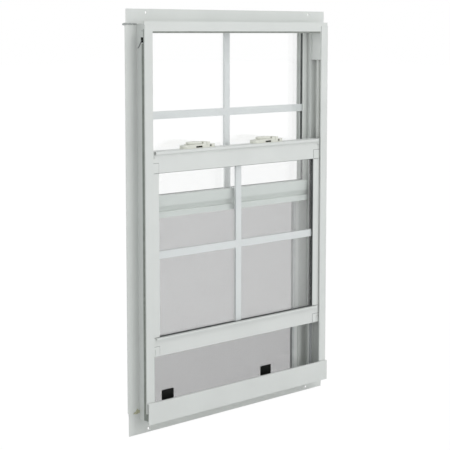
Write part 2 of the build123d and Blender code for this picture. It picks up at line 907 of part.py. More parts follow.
def make_cam(x):
    """Cam plate on the lever's shank, a ring with one lobe."""
    reach = 2 * cam_reach
    half = math.radians(cam_spread / 2)
    wedge = Polygon(
        (0, 0),
        (reach * math.cos(half), -reach * math.sin(half)),
        (reach * math.cos(half), reach * math.sin(half)),
        align=None,
    )
    lobe = RegularPolygon(cam_reach, cam_facets) & wedge
    ring = RegularPolygon(shank_d / 2 + cam_ring, cam_facets // 2)
    plan = ring + Rot(0, 0, cam_rest_angle) * lobe - Circle(shank_d / 2)
    return Pos(x, lock_y, lock_z + running_gap) * extrude(plan, cam_height)


# Insect screen

spline_out = screen_half - spline_from_edge
lip_inset = spline_from_edge + spline_width
tab_low = screen_low + screen_rail + tab_raise
tab_high = tab_low + tab_height


def screen_ring(inset, width, front):
    """Ring of the screen's frame, inset from its outer edge, cut level behind the sill's dam."""
    return window_ring(
        screen_half - inset, screen_low + inset, screen_top - inset, width, front, screen_back
    )


def make_screen_frame():
    """Frame of four rails with a groove for the spline."""
    ring = screen_ring(0, spline_from_edge, screen_front)
    ring += screen_ring(0, screen_rail, screen_front + spline_width + spline_floor)
    ring += screen_ring(lip_inset, screen_rail - lip_inset, screen_front + screen_lip_drop)
    foot = block((-screen_half, screen_half), (screen_front, screen_back), (screen_low, screen_bottom))
    return ring - foot


def mitre(points):
    wedge = Polygon(*points, align=None)
    depth = screen_depth + 2 * screen_gap
    start = Plane.XZ.offset(-(screen_front - screen_gap))
    return extrude(start * wedge, depth, dir=(0, 1, 0))


def make_screen_rails():
    ring = make_screen_frame()
    x = screen_half
    inner = screen_half - screen_rail
    low = screen_low
    high = screen_top
    inner_low = low + screen_rail
    inner_high = high - screen_rail
    top = ring & mitre([(-x, high), (x, high), (inner, inner_high), (-inner, inner_high)])
    bottom = ring & mitre([(-x, low), (-inner, inner_low), (inner, inner_low), (x, low)])
    left = ring & mitre([(-x, low), (-x, high), (-inner, inner_high), (-inner, inner_low)])
    return top, bottom, both(left)


def mesh_holes(width, low, high):
    """Even openings that fill a field, with a strand between and around them."""
    columns, rows = mesh_openings
    across = (width - mesh_strand) / columns
    up = (high - low - mesh_strand) / rows
    hole = Rectangle(across - mesh_strand, up - mesh_strand)
    field = Pos(0, (low + high) / 2)
    return [field * place * hole for place in GridLocations(across, up, columns, rows)]


def make_mesh():
    """Sheet of coarse openings in place of the weave, whole behind the pull tabs."""
    half = screen_half - lip_inset
    low = screen_low + lip_inset
    high = screen_top - lip_inset
    sheet = plate((-half, half), (low, high)) - mesh_holes(2 * half, tab_high, high)
    front = screen_front + screen_lip_drop - mesh_thickness
    return extrude(Plane.XZ.offset(-front) * sheet, mesh_thickness, dir=(0, 1, 0))


def make_spline():
    front = screen_front + spline_drop
    back = screen_front + spline_width + spline_floor
    low = screen_low + spline_from_edge
    return window_ring(spline_out, low, screen_top - spline_from_edge, spline_width, front, back)


def make_pull_tab(x):
    """Pull tab on the mesh: a plate with a ledge along its top and its foot."""
    front = screen_front - tab_thickness
    face = Pos(x, (tab_low + tab_high) / 2) * RectangleRounded(tab_width, tab_height, tab_corner)
    tab = extrude(Plane.XZ.offset(-front) * face, -tab_thickness)
    half = tab_width / 2 - tab_corner
    for z in (tab_low, tab_high - tab_thickness):
        tab += block((x - half, x + half), (front - tab_ledge, front), (z, z + tab_thickness))
    return tab


def make_leaf_spring(x):
    outer = screen_cap_z - running_gap - screen_top
    arch = Circle(outer) - Circle(outer - leaf_thickness)
    arch &= plate((-outer, outer), (0, outer))
    middle = (screen_front + screen_back) / 2
    start = Plane.XZ.offset(-(middle - leaf_width / 2))
    return extrude(start * (Pos(x, screen_top) * arch), -leaf_width)


def make_spring_tangs(x):
    """The spring's two ends, hooked under the top rail's inner edge."""
    high = screen_top - screen_rail
    tangs = []
    for centre in (x - tang_spacing / 2, x + tang_spacing / 2):
        tangs.append(
            block(
                (centre - tang_width / 2, centre + tang_width / 2),
                (screen_front + screen_lip_drop, screen_front + screen_lip_drop + tang_depth),
                (high - tang_height, high),
            )
        )
    return group(tangs)


def make_subparts():
    """Every separate piece of the window, by name."""
    parts = {}
    head = make_head()
    sill = make_sill()
    jamb_left = make_jamb_left(head, sill)
    jamb_right = other_side(jamb_left)
    parts["head"] = head
    parts["sill"] = sill
    parts["jamb_left"] = jamb_left
    parts["jamb_right"] = jamb_right
    parts["frame_screws"] = make_frame_screws()
    parts["corner_sealant"] = make_corner_sealant()
    parts["fixed_meeting_rail"] = make_fixed_rail([jamb_left, jamb_right])

    upper = (upper_glass_half, upper_glass_bottom, upper_glass_top, glass_front)
    unit = insulated_unit(*upper)
    parts["upper_pane_inner"], parts["upper_pane_outer"], parts["upper_spacer"] = unit
    bars = grid(*upper, upper_bar_z)
    parts["upper_grid_horizontal"], parts["upper_grid_verticals"], parts["upper_grid_clips"] = bars
    parts["upper_glazing_tape"] = make_upper_tape()
    parts["setting_blocks"] = make_setting_blocks()
    bead_left = make_bead_left()
    parts["glazing_bead_left"] = bead_left
    parts["glazing_bead_right"] = other_side(bead_left)
    parts["glazing_bead_top"] = make_bead_top()
    parts["jamb_pile_strips"] = make_pile_strips()

    cover_left = make_cover_left()
    parts["balance_cover_left"] = cover_left
    parts["balance_cover_right"] = other_side(cover_left)
    parts["balance_tubes"] = both(make_tube_left())
    parts["balance_springs"] = both(make_spring_left())
    parts["balance_tube_screws"] = both(make_tube_screw_left())
    parts["balance_anchor_hooks"] = both(make_hook_left())
    bearing_left = make_bearing_left()
    parts["balance_bearing_left"] = bearing_left
    parts["balance_bearing_right"] = other_side(bearing_left)
    parts["balance_rods"] = both(make_rod_left())
    parts["balance_shoes"] = both(make_shoe_left())

    top_rail = make_top_rail()
    bottom_rail = make_bottom_rail()
    stile_left = make_stile_left([top_rail, bottom_rail])
    parts["sash_top_rail"] = top_rail
    parts["sash_bottom_rail"] = bottom_rail
    parts["sash_stile_left"] = stile_left
    parts["sash_stile_right"] = other_side(stile_left)
    parts["sash_corner_screws"] = make_sash_screws()
    lower = (sash_glass_half, sash_glass_bottom, sash_glass_top, sash_glass_front)
    unit = insulated_unit(*lower)
    parts["sash_pane_inner"], parts["sash_pane_outer"], parts["sash_spacer"] = unit
    bars = grid(*lower, lower_bar_z)
    parts["sash_grid_horizontal"], parts["sash_grid_verticals"], parts["sash_grid_clips"] = bars
    parts["sash_glazing_gasket"] = make_sash_gasket()
    parts["sash_bulb_seal"] = make_bulb_seal()
    parts["sash_top_pile"] = make_top_pile()
    parts["sash_guides"] = make_guides()

    for side, x in zip(("left", "right"), lock_centres):
        parts[f"lock_base_{side}"] = make_lock_base(x)
        parts[f"lock_lever_{side}"] = make_lever(x)
        parts[f"lock_cam_{side}"] = make_cam(x)
    parts["lock_screws"] = make_lock_screws()
    parts["lock_pins"] = make_lock_pins()

    rails = make_screen_rails()
    parts["screen_top_rail"], parts["screen_bottom_rail"], parts["screen_side_rails"] = rails
    parts["insect_mesh"] = make_mesh()
    parts["screen_spline"] = make_spline()
    parts["screen_pull_tabs"] = group([make_pull_tab(x) for x in tab_centres])
    parts["screen_springs"] = group([make_leaf_spring(x) for x in spring_centres])
    parts["screen_spring_tangs"] = group([make_spring_tangs(x) for x in spring_centres])
    return parts


os.makedirs("parts", exist_ok=True)
for name, shape in make_subparts().items():
    export_step(shape, f"parts/{name}.step")
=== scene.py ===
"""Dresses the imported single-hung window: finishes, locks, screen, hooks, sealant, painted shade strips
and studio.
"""

import json
import logging
import math
from dataclasses import dataclass
from enum import Enum
from typing import Callable

import bpy
from mathutils import Euler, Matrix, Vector


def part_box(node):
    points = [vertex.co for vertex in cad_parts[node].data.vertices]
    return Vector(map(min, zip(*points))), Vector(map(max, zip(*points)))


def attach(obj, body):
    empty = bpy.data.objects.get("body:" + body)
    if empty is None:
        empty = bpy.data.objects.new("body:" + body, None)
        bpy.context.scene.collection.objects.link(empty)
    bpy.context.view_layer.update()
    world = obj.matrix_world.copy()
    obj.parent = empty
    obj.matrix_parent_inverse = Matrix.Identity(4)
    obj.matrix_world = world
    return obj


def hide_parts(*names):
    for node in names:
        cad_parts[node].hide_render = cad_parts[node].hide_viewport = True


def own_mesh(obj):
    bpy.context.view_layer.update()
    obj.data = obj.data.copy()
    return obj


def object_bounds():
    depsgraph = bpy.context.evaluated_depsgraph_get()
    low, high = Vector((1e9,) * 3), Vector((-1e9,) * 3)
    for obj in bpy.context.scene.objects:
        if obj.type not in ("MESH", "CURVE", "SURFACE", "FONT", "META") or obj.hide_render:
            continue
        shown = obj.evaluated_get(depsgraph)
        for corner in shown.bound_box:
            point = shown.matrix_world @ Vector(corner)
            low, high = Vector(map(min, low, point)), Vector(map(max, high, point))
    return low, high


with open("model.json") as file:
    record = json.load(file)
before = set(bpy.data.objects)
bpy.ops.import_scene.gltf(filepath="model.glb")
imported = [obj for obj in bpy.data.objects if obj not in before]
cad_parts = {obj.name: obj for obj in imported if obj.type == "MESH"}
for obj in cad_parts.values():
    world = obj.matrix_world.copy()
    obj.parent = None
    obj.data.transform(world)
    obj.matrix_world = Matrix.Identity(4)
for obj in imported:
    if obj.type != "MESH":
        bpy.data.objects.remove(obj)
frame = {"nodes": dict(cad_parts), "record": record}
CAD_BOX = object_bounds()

log = logging.getLogger("window")

MM = 0.001
IMAGE_SIDE = 450.0

# A face looks along an axis when its normal's part there is above this.
FACING = 0.5
# Corners of a solid's loose triangles that lie closer than this are one corner.
MERGE_GAP = 0.01 * MM
# Neighbouring faces that differ by less than this are one flat face.
FLAT_ANGLE = math.radians(1.0)

Point = tuple[float, float, float]
Colour = tuple[float, float, float]
Span = tuple[float, float]

WHITE: Colour = (1.0, 1.0, 1.0)


class Axis(Enum):
    """Direction along which a strip or a row of copies runs."""

    X = 0
    Y = 1
    Z = 2

    def vector(self, length: float = 1.0) -> Vector:
        """A vector of that length along the axis."""
        return Vector([length if place == self.value else 0.0 for place in range(3)])


class Side(Enum):
    """Side of the window, with its direction along X."""

    LEFT = -1
    RIGHT = 1

    def label(self) -> str:
        """The side's name in small letters."""
        return self.name.lower()

    def across(self, near: float, far: float) -> Span:
        """Lowest and highest X of a stretch between two distances from the window's middle.

        Args:
            near: Distance of the stretch's inner end.
            far: Distance of its outer end.

        Returns:
            The lower and the higher X.
        """
        low, high = sorted((self.value * near, self.value * far))
        return low, high


class Rail(Enum):
    """Rail of the sash or the screen, by its place."""

    TOP = "top"
    BOTTOM = "bottom"


class Body(Enum):
    """Bodies of the window that dressed pieces ride on."""

    FRAME = "frame"
    SASH = "sash"
    LEFT_LOCK = "left_lock"
    RIGHT_LOCK = "right_lock"
    SCREEN = "insect_screen"


class Graph:
    """One material and the nodes that make its finish, read on Object coordinates."""

    middle_range: Span = (0.3, 0.7)

    def __init__(self, name: str) -> None:
        """Starts a material with a Principled shader.

        Args:
            name: The material's name.
        """
        self.material = bpy.data.materials.new(name)
        self.material.use_nodes = True
        self.tree = self.material.node_tree
        self.shader = self.tree.nodes["Principled BSDF"]
        self.output = self.tree.nodes["Material Output"]
        self.place = self.tree.nodes.new("ShaderNodeTexCoord").outputs["Object"]

    def link(self, source: bpy.types.NodeSocket, target: bpy.types.NodeSocket) -> None:
        """Joins two sockets."""
        self.tree.links.new(source, target)

    def set(self, **values: float) -> None:
        """Sets constants on the shader's own sockets, named with underscores for spaces."""
        for name, value in values.items():
            self.shader.inputs[name.replace("_", " ")].default_value = value

    def stretched(self, scale: Point) -> bpy.types.NodeSocket:
        """Object coordinates scaled along each axis.

        Args:
            scale: Factor along X, Y and Z.

        Returns:
            The vector socket.
        """
        node = self.tree.nodes.new("ShaderNodeMapping")
        node.inputs["Scale"].default_value = scale
        self.link(self.place, node.inputs["Vector"])
        return node.outputs["Vector"]

    def noise(
        self, scale: float, detail: float = 3.0, vector: bpy.types.NodeSocket | None = None
    ) -> bpy.types.NodeSocket:
        """A noise pattern.

        Args:
            scale: Repeats per metre.
            detail: Octaves of finer noise.
            vector: Coordinates to read in place of plain Object ones.

        Returns:
            The noise value's socket.
        """
        node = self.tree.nodes.new("ShaderNodeTexNoise")
        node.inputs["Scale"].default_value = scale
        node.inputs["Detail"].default_value = detail
        self.link(vector or self.place, node.inputs["Vector"])
        return node.outputs["Fac"]

    def spread(self, source: bpy.types.NodeSocket, low: float, high: float) -> bpy.types.NodeSocket:
        """A pattern's middle range spread between two values.

        Args:
            source: The pattern.
            low: Value in its valleys.
            high: Value on its hills.

        Returns:
            The spread value's socket.
        """
        node = self.tree.nodes.new("ShaderNodeMapRange")
        node.inputs["From Min"].default_value = self.middle_range[0]
        node.inputs["From Max"].default_value = self.middle_range[1]
        node.inputs["To Min"].default_value = low
        node.inputs["To Max"].default_value = high
        self.link(source, node.inputs["Value"])
        return node.outputs["Result"]

    def tint(self, source: bpy.types.NodeSocket, low: Colour, high: Colour) -> bpy.types.NodeSocket:
        """A colour that runs between two tints with a pattern.

        Args:
            source: The pattern.
            low: Colour in its valleys.
            high: Colour on its hills.

        Returns:
            The colour's socket.
        """
        node = self.tree.nodes.new("ShaderNodeMix")
        node.data_type = "RGBA"
        node.inputs["A"].default_value = (*low, 1.0)
        node.inputs["B"].default_value = (*high, 1.0)
        self.link(self.spread(source, 0.0, 1.0), node.inputs["Factor"])
        return node.outputs["Result"]

    def mottle(self, source: bpy.types.NodeSocket, colour: Colour, factors: Span) -> None:
        """Feeds the base colour with one colour, made darker and lighter by a pattern.

        Args:
            source: The pattern.
            colour: The middle colour.
            factors: Brightness factors in the pattern's valleys and on its hills.
        """
        low, high = (shade(colour, factor) for factor in factors)
        self.colour(self.tint(source, low, high))

    def colour(self, source: bpy.types.NodeSocket) -> None:
        """Feeds the base colour."""
        self.link(source, self.shader.inputs["Base Color"])

    def roughness(self, source: bpy.types.NodeSocket) -> None:
        """Feeds the roughness."""
        self.link(source, self.shader.inputs["Roughness"])

    def relief(self, source: bpy.types.NodeSocket, height: float, strength: float = 1.0) -> None:
        """Raises the surface with a pattern.

        Args:
            source: The pattern.
            height: Height of its hills, in metres.
            strength: Share of the full effect.
        """
        node = self.tree.nodes.new("ShaderNodeBump")
        node.inputs["Distance"].default_value = height
        node.inputs["Strength"].default_value = strength
        self.link(source, node.inputs["Height"])
        self.link(node.outputs["Normal"], self.shader.inputs["Normal"])


def shade(colour: Colour, factor: float) -> Colour:
    """A colour made lighter or darker.

    Args:
        colour: Linear colour.
        factor: Brightness factor.

    Returns:
        The new colour, at most white.
    """
    return tuple(min(1.0, part * factor) for part in colour)


def blend(
    tree: bpy.types.NodeTree,
    factor: bpy.types.NodeSocket,
    first: bpy.types.NodeSocket,
    second: bpy.types.NodeSocket,
) -> bpy.types.NodeSocket:
    """Mixes two shaders.

    Args:
        tree: Node tree to add the mix to.
        factor: Share of the second shader.
        first: The first shader.
        second: The second shader.

    Returns:
        The mixed shader's socket.
    """
    mix = tree.nodes.new("ShaderNodeMixShader")
    tree.links.new(factor, mix.inputs["Fac"])
    tree.links.new(first, mix.inputs[1])
    tree.links.new(second, mix.inputs[2])
    return mix.outputs["Shader"]


@dataclass(frozen=True)
class Finish:
    """A named finish that puts its nodes on a new material."""

    name: str

    def paint(self, graph: Graph) -> None:
        """Adds the finish's nodes.

        Args:
            graph: The material to work on.
        """
        raise NotImplementedError

    def material(self) -> bpy.types.Material:
        """Makes the finish's material.

        Returns:
            The new material.
        """
        graph = Graph(self.name)
        self.paint(graph)
        return graph.material


@dataclass(frozen=True)
class BakedPaint(Finish):
    """Satin baked paint, faintly clouded, with a fine orange peel."""

    colour: Colour
    gloss_low: float = 0.34
    gloss_high: float = 0.46
    clouds: float = 9.0
    cloud_tints: Span = (0.975, 1.02)
    gloss_clouds: float = 60.0
    peel_grain: float = 900.0
    peel_detail: float = 2.0
    peel: float = 0.04 * MM
    peel_share: float = 0.5
    specular: float = 0.45

    def paint(self, graph: Graph) -> None:
        """Adds the paint's clouds, gloss and peel.

        Args:
            graph: The material to work on.
        """
        graph.mottle(graph.noise(self.clouds), self.colour, self.cloud_tints)
        graph.roughness(graph.spread(graph.noise(self.gloss_clouds), self.gloss_low, self.gloss_high))
        graph.relief(graph.noise(self.peel_grain, self.peel_detail), self.peel, self.peel_share)
        graph.set(Specular_IOR_Level=self.specular)


@dataclass(frozen=True)
class FloatGlass(Finish):
    """Clear float glass that lets lamplight and sky light through."""

    colour: Colour = (0.998, 1.0, 0.999)
    refraction: float = 1.5

    def paint(self, graph: Graph) -> None:
        """Adds the glass, which is plainly clear to diffuse and shadow rays.

        Args:
            graph: The material to work on.
        """
        graph.set(Transmission_Weight=1.0, Roughness=0.0, IOR=self.refraction)
        graph.shader.inputs["Base Color"].default_value = (*self.colour, 1.0)
        path = graph.tree.nodes.new("ShaderNodeLightPath")
        clear = graph.tree.nodes.new("ShaderNodeBsdfTransparent")
        clear.inputs["Color"].default_value = (*self.colour, 1.0)
        surface = graph.shader.outputs["BSDF"]
        for ray in ("Is Diffuse Ray", "Is Shadow Ray"):
            surface = blend(graph.tree, path.outputs[ray], surface, clear.outputs["BSDF"])
        graph.link(surface, graph.output.inputs["Surface"])


@dataclass(frozen=True)
class Metal(Finish):
    """Plated or bare metal with fine drawing lines and cloudy shine."""

    colour: Colour
    gloss_low: float
    gloss_high: float
    lines: Point = (900.0, 900.0, 14.0)
    line_detail: float = 2.0
    line_height: float = 0.01 * MM
    line_share: float = 0.4
    clouds: float = 180.0
    cloud_tints: Span = (0.9, 1.05)

    def paint(self, graph: Graph) -> None:
        """Adds the metal's drawing lines and clouds.

        Args:
            graph: The material to work on.
        """
        drawn = graph.noise(1.0, self.line_detail, graph.stretched(self.lines))
        cloudy = graph.noise(self.clouds)
        graph.mottle(cloudy, self.colour, self.cloud_tints)
        graph.roughness(graph.spread(cloudy, self.gloss_low, self.gloss_high))
        graph.relief(drawn, self.line_height, self.line_share)
        graph.set(Metallic=1.0)


@dataclass(frozen=True)
class Rubber(Finish):
    """Matt rubber, mottled and a little rough, also used for the dark strips of painted shade."""

    colour: Colour
    other: Colour
    blots: float = 90.0
    blot_detail: float = 4.0
    gloss_clouds: float = 200.0
    gloss_low: float = 0.55
    gloss_high: float = 0.75
    grain: float = 700.0
    height: float = 0.06 * MM
    grain_share: float = 0.6
    specular: float = 0.35

    def paint(self, graph: Graph) -> None:
        """Adds the rubber's blots, dull shine and grain.

        Args:
            graph: The material to work on.
        """
        graph.colour(graph.tint(graph.noise(self.blots, self.blot_detail), self.colour, self.other))
        graph.roughness(graph.spread(graph.noise(self.gloss_clouds), self.gloss_low, self.gloss_high))
        graph.relief(graph.noise(self.grain), self.height, self.grain_share)
        graph.set(Specular_IOR_Level=self.specular)


@dataclass(frozen=True)
class Moulded(Finish):
    """Injection-moulded plastic with a fine spark-eroded texture."""

    colour: Colour
    gloss_low: float = 0.42
    gloss_high: float = 0.58
    shine: float = 0.5
    clouds: float = 35.0
    cloud_tints: Span = (0.94, 1.04)
    gloss_clouds: float = 120.0
    grain: float = 2400.0
    grain_detail: float = 2.0
    height: float = 0.04 * MM
    grain_share: float = 0.5

    def paint(self, graph: Graph) -> None:
        """Adds the plastic's clouds, gloss and grain.

        Args:
            graph: The material to work on.
        """
        graph.mottle(graph.noise(self.clouds), self.colour, self.cloud_tints)
        graph.roughness(graph.spread(graph.noise(self.gloss_clouds), self.gloss_low, self.gloss_high))
        graph.relief(graph.noise(self.grain, self.grain_detail), self.height, self.grain_share)
        graph.set(Specular_IOR_Level=self.shine)


@dataclass(frozen=True)
class Pile(Finish):
    """Woven brush pile: fine upright tufts of mixed grey."""

    colour: Colour
    tufts: Point = (2600.0, 300.0, 2600.0)
    tuft_detail: float = 2.0
    tuft_tints: Span = (0.6, 1.2)
    gloss_low: float = 0.8
    gloss_high: float = 0.95
    height: float = 0.3 * MM
    tuft_share: float = 0.8
    sheen: float = 0.3

    def paint(self, graph: Graph) -> None:
        """Adds the pile's tufts and sheen.

        Args:
            graph: The material to work on.
        """
        tufts = graph.noise(1.0, self.tuft_detail, graph.stretched(self.tufts))
        graph.mottle(tufts, self.colour, self.tuft_tints)
        graph.roughness(graph.spread(tufts, self.gloss_low, self.gloss_high))
        graph.relief(tufts, self.height, self.tuft_share)
        graph.set(Sheen_Weight=self.sheen)


@dataclass(frozen=True)
class Sealant(Finish):
    """Cured sealant: grey at the head, yellowed and waxy at the sill."""

    upper: Colour
    lower: Colour
    age_scale: Point = (1.0, 1.0, 2.0)
    blots: float = 160.0
    blot_detail: float = 4.0
    blot_colour: Colour = (0.78, 0.78, 0.78)
    gloss_clouds: float = 200.0
    gloss_low: float = 0.3
    gloss_high: float = 0.6
    grain: float = 700.0
    height: float = 0.1 * MM
    grain_share: float = 0.6

    def paint(self, graph: Graph) -> None:
        """Adds the change of colour with height, the blots and the grain.

        Args:
            graph: The material to work on.
        """
        apart = graph.tree.nodes.new("ShaderNodeSeparateXYZ")
        graph.link(graph.stretched(self.age_scale), apart.inputs["Vector"])
        age = graph.tint(apart.outputs["Z"], self.lower, self.upper)
        blot = graph.tint(graph.noise(self.blots, self.blot_detail), self.blot_colour, WHITE)
        mix = graph.tree.nodes.new("ShaderNodeMix")
        mix.data_type = "RGBA"
        mix.blend_type = "MULTIPLY"
        mix.inputs["Factor"].default_value = 1.0
        graph.link(age, mix.inputs["A"])
        graph.link(blot, mix.inputs["B"])
        graph.colour(mix.outputs["Result"])
        graph.roughness(graph.spread(graph.noise(self.gloss_clouds), self.gloss_low, self.gloss_high))
        graph.relief(graph.noise(self.grain), self.height, self.grain_share)


# Finish of each material slot.
FINISHES: dict[str, Finish] = {
    "frame_white": BakedPaint("frame_paint", (0.755, 0.772, 0.745)),
    "sash_white": BakedPaint("sash_paint", (0.768, 0.783, 0.757)),
    "grid_white": BakedPaint("bar_paint", (0.745, 0.770, 0.765)),
    "glass": FloatGlass("float_glass"),
    "spacer_grey": Metal("spacer_aluminium", (0.60, 0.62, 0.61), 0.45, 0.6),
    "clip_white": Moulded("clip_nylon", (0.72, 0.72, 0.70)),
    "gasket_dark": Rubber("gasket_rubber", (0.075, 0.080, 0.080), (0.11, 0.115, 0.115)),
    "pile_grey": Pile("brush_pile", (0.50, 0.51, 0.52)),
    "lock_ivory": BakedPaint("lock_enamel", (0.798, 0.800, 0.720), 0.24, 0.34),
    "zinc": Metal("bright_zinc", (0.62, 0.62, 0.61), 0.28, 0.42),
    "steel": Metal("plated_steel", (0.58, 0.59, 0.60), 0.25, 0.40),
    "tube_white": BakedPaint("tube_paint", (0.792, 0.804, 0.768), 0.4, 0.5),
    "nylon": Moulded("natural_nylon", (0.66, 0.66, 0.61)),
    "sealant": Sealant("cured_sealant", (0.42, 0.44, 0.43), (0.58, 0.57, 0.40)),
    "screen_white": BakedPaint("screen_paint", (0.840, 0.857, 0.835)),
    "mesh_charcoal": Moulded("coated_yarn", (0.045, 0.045, 0.050), 0.5, 0.65),
    "spline_pale": Rubber("spline_vinyl", (0.58, 0.60, 0.59), (0.74, 0.76, 0.75)),
    # Also worn by the blocks in the hook holes, as painted shade.
    "tab_black": Moulded("tab_plastic_and_hole_shade", (0.007, 0.008, 0.007), shine=0.2),
}

# Finishes of single nodes, in place of their slot's.
NODE_FINISHES: dict[str, Finish] = {
    "screen_spring_tangs": Metal("blued_spring_steel", (0.045, 0.048, 0.052), 0.35, 0.5),
    "balance_anchor_hooks": Metal("dark_hook_steel", (0.22, 0.225, 0.23), 0.35, 0.5),
    # A darker, greener copy of the white paint: painted shade of the rail behind the sash glass.
    "fixed_meeting_rail": BakedPaint("shaded_rail_paint", (0.610, 0.650, 0.618)),
}

# Near-black plates in the lock openings: painted shade.
RECESS_SHADE = Metal("painted_recess_shade", (0.035, 0.034, 0.024), 0.5, 0.7)
# Dark grey strips behind the lips: painted shade.
LIP_SHADE = Rubber("foam_tape", (0.25, 0.27, 0.24), (0.33, 0.35, 0.32))
# Dark lines at the sash's corners: painted shade of the steps there.
STEP_SHADE = Rubber("painted_step_shade", (0.20, 0.21, 0.20), (0.28, 0.29, 0.28))


class Bench:
    """Modelling by hand: primitives, edit-mode operators and applied modifiers."""

    @staticmethod
    def clear() -> None:
        """Leaves edit mode with nothing selected."""
        if bpy.context.object and bpy.context.object.mode != "OBJECT":
            bpy.ops.object.mode_set(mode="OBJECT")
        bpy.ops.object.select_all(action="DESELECT")

    @staticmethod
    def block(name: str, low: Vector, high: Vector) -> bpy.types.Object:
        """A box between two corners, to start a piece from.

        Args:
            name: The piece's name.
            low: Lowest corner, in metres.
            high: Highest corner, in metres.

        Returns:
            The new object, at the origin and unscaled.
        """
        Bench.clear()
        bpy.ops.mesh.primitive_cube_add(size=1.0, location=(low + high) / 2)
        piece = bpy.context.object
        piece.name = name
        piece.data.name = name
        piece.scale = high - low
        bpy.ops.object.transform_apply(location=True, rotation=True, scale=True)
        return piece

    @staticmethod
    def copy(node: str, name: str) -> bpy.types.Object:
        """A merged copy of a solid's mesh, to finish by hand.

        Args:
            node: The solid's name.
            name: The copy's name.

        Returns:
            The copy, with its flat faces whole.
        """
        Bench.clear()
        piece = bpy.data.objects.new(name, frame["nodes"][node].data.copy())
        piece.data.name = name
        bpy.context.scene.collection.objects.link(piece)
        piece.select_set(True)
        bpy.context.view_layer.objects.active = piece
        bpy.ops.object.mode_set(mode="EDIT")
        bpy.ops.mesh.select_all(action="SELECT")
        bpy.ops.mesh.remove_doubles(threshold=MERGE_GAP)
        bpy.ops.mesh.dissolve_limited(angle_limit=FLAT_ANGLE)
        bpy.ops.object.mode_set(mode="OBJECT")
        return piece

    @staticmethod
    def select_faces(piece: bpy.types.Object, chosen: Callable[[bpy.types.MeshPolygon], bool]) -> None:
        """Selects the faces that a test picks and enters edit mode.

        Args:
            piece: The piece to work on.
            chosen: Test on each face.
        """
        bpy.ops.object.mode_set(mode="EDIT")
        bpy.ops.mesh.select_mode(type="FACE")
        bpy.ops.mesh.select_all(action="DESELECT")
        bpy.ops.object.mode_set(mode="OBJECT")
        for face in piece.data.polygons:
            face.select = chosen(face)
        bpy.ops.object.mode_set(mode="EDIT")

    @staticmethod
    def apply(piece: bpy.types.Object, kind: str, **settings: object) -> None:
        """Adds a modifier and applies it.

        Args:
            piece: The piece to change.
            kind: The modifier's type.
            settings: Its settings.
        """
        bpy.context.view_layer.objects.active = piece
        modifier = piece.modifiers.new(kind.lower(), kind)
        for key, value in settings.items():
            setattr(modifier, key, value)
        bpy.ops.object.modifier_apply(modifier=modifier.name)

    @staticmethod
    def round_edges(
        piece: bpy.types.Object, width: float, steps: int = 2, degrees: float = 30.0
    ) -> None:
        """Rounds a piece's sharp edges.

        Args:
            piece: The piece to round.
            width: Width of the rounding.
            steps: Steps across it.
            degrees: Angle from which an edge is sharp.
        """
        limit = math.radians(degrees)
        Bench.apply(
            piece, "BEVEL", width=width, segments=steps, limit_method="ANGLE", angle_limit=limit
        )

    @staticmethod
    def row(piece: bpy.types.Object, axis: Axis, step: float, count: int) -> None:
        """Repeats a piece's mesh in a row.

        Args:
            piece: The piece to repeat.
            axis: Direction of the row.
            step: Distance from one copy to the next.
            count: Number of copies, the first one too.
        """
        Bench.apply(
            piece,
            "ARRAY",
            count=count,
            use_relative_offset=False,
            use_constant_offset=True,
            constant_offset_displace=axis.vector(step),
        )

    @staticmethod
    def join(name: str, pieces: list[bpy.types.Object]) -> bpy.types.Object:
        """Joins several meshes into one piece.

        Args:
            name: Name of the joined piece.
            pieces: Pieces to join.

        Returns:
            The joined piece.
        """
        Bench.clear()
        for piece in pieces:
            piece.select_set(True)
        bpy.context.view_layer.objects.active = pieces[0]
        bpy.ops.object.join()
        pieces[0].name = name
        pieces[0].data.name = name
        return pieces[0]

    @staticmethod
    def smooth(piece: bpy.types.Object, degrees: float = 35.0) -> None:
        """Shades a piece smooth, apart from its sharper edges.

        Args:
            piece: The piece to shade.
            degrees: Angle from which an edge stays sharp.
        """
        Bench.clear()
        piece.select_set(True)
        bpy.context.view_layer.objects.active = piece
        bpy.ops.object.shade_smooth_by_angle(angle=math.radians(degrees))


class Wardrobe:
    """Materials made once for each finish and hung on every CAD node."""

    made: dict[str, bpy.types.Material] = {}

    @classmethod
    def hang(cls, finish: Finish) -> bpy.types.Material:
        """The material of a finish, made on first use.

        Args:
            finish: The finish.

        Returns:
            Its material.
        """
        if finish.name not in cls.made:
            cls.made[finish.name] = finish.material()
        return cls.made[finish.name]

    @classmethod
    def dress(cls) -> None:
        """Puts each CAD node's finish on it."""
        for row in frame["record"]["subparts"]:
            node = frame["nodes"][row["node"]]
            finish = NODE_FINISHES.get(row["node"], FINISHES[row["material_slot"]])
            node.data.materials.clear()
            node.data.materials.append(cls.hang(finish))
            log.info("%s wears %s", row["node"], finish.name)


def fit_out(
    piece: bpy.types.Object, body: Body, slot: str, *nodes: str, finish: Finish | None = None
) -> None:
    """Gives a new piece its finish, body and place in the part.

    Args:
        piece: The new piece.
        body: Body that it rides on.
        slot: Material slot whose finish it wears when it has no finish of its own.
        nodes: CAD nodes that it stands for.
        finish: Finish of its own, in place of the slot's.
    """
    piece.data.materials.clear()
    piece.data.materials.append(Wardrobe.hang(finish or FINISHES[slot]))
    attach(piece, body.value)
    if nodes:
        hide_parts(*nodes)
    log.info("%s rides on %s with %d faces", piece.name, body.value, len(piece.data.polygons))


